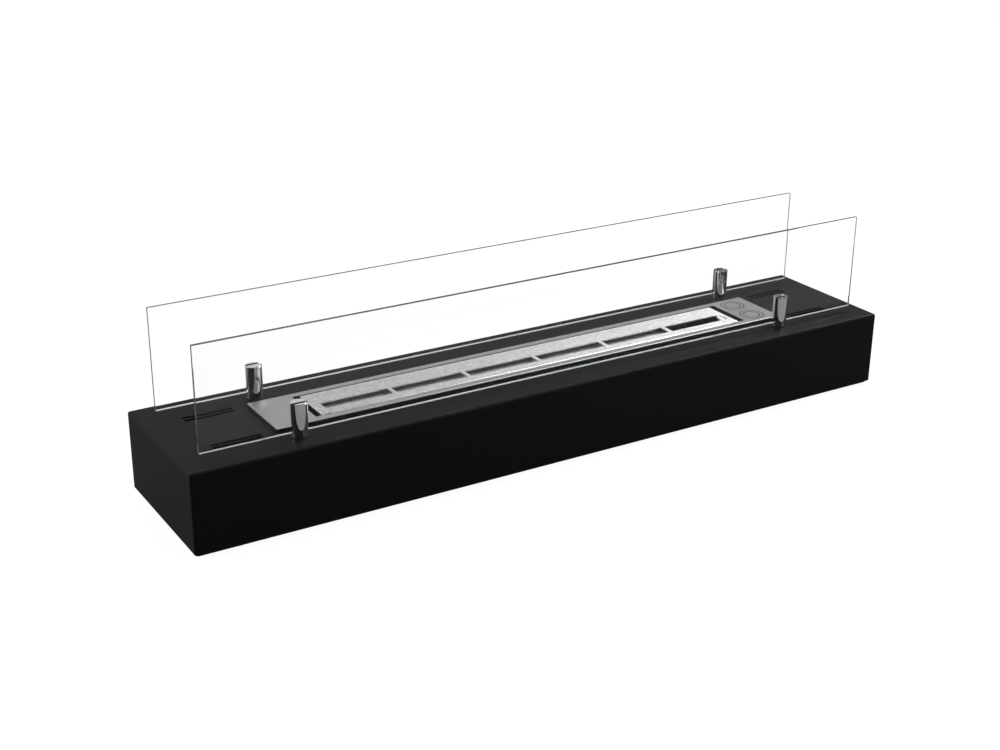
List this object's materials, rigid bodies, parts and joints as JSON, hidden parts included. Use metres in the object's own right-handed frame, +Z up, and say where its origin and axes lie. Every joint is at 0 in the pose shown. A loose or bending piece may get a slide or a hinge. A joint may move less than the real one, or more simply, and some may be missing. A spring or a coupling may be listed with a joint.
{
  "type": "bioethanol fireplace",
  "caption": "Long low black steel box with a stainless drop-in bioethanol burner between two clear glass panes held in polished slotted posts.",
  "frame": {"origin": "on the floor under the middle of the box", "axes": "+X along the length to the right, +Y to the back, +Z up"},
  "size_m": [0.9, 0.18, 0.2155],
  "materials": {
    "black_sheet": "satin",
    "brushed_stainless": "satin",
    "plain_stainless": "satin",
    "polished_steel": "polished",
    "zinc_steel": "satin",
    "clear_glass": "polished",
    "black_rubber": "matte",
    "wool": "matte"
  },
  "bodies": {
    "casing": {"casing": "black_sheet", "base_plate": "black_sheet", "base_screws": "zinc_steel", "feet": "black_rubber", "slot_liners": "black_rubber", "post_bolts": "zinc_steel", "post_front_left": "polished_steel", "post_front_right": "polished_steel", "post_back_left": "polished_steel", "post_back_right": "polished_steel"},
    "burner": {"burner_trim": "brushed_stainless", "burner_pan": "plain_stainless", "pan_bearers": "plain_stainless"},
    "tank": {"fuel_tank": "plain_stainless", "tank_cover": "brushed_stainless", "ceramic_wool": "wool", "wool_baffle": "plain_stainless"},
    "glass_front": {"glass_front": "clear_glass"},
    "glass_back": {"glass_back": "clear_glass"},
    "set_screw_front_left": {"set_screw_front_left": "zinc_steel"},
    "set_screw_front_right": {"set_screw_front_right": "zinc_steel"},
    "set_screw_back_left": {"set_screw_back_left": "zinc_steel"},
    "set_screw_back_right": {"set_screw_back_right": "zinc_steel"}
  },
  "joints": [
    {"name": "burner_lift", "type": "slide", "parent": "casing", "child": "burner", "axis": [0, 0, 1], "range_m": [0, 0.185]},
    {"name": "tank_lift", "type": "slide", "parent": "burner", "child": "tank", "axis": [0, 0, 1], "range_m": [0, 0.18]},
    {"name": "glass_front_lift", "type": "slide", "parent": "casing", "child": "glass_front", "axis": [0, 0, 1], "range_m": [0, 0.035]},
    {"name": "glass_back_lift", "type": "slide", "parent": "casing", "child": "glass_back", "axis": [0, 0, 1], "range_m": [0, 0.035]},
    {"name": "set_screw_front_left_travel", "type": "slide", "parent": "casing", "child": "set_screw_front_left", "axis": [0, 1, 0], "range_m": [0, 0.0012]},
    {"name": "set_screw_front_right_travel", "type": "slide", "parent": "casing", "child": "set_screw_front_right", "axis": [0, 1, 0], "range_m": [0, 0.0012]},
    {"name": "set_screw_back_left_travel", "type": "slide", "parent": "casing", "child": "set_screw_back_left", "axis": [0, -1, 0], "range_m": [0, 0.0012]},
    {"name": "set_screw_back_right_travel", "type": "slide", "parent": "casing", "child": "set_screw_back_right", "axis": [0, -1, 0], "range_m": [0, 0.0012]}
  ]
}
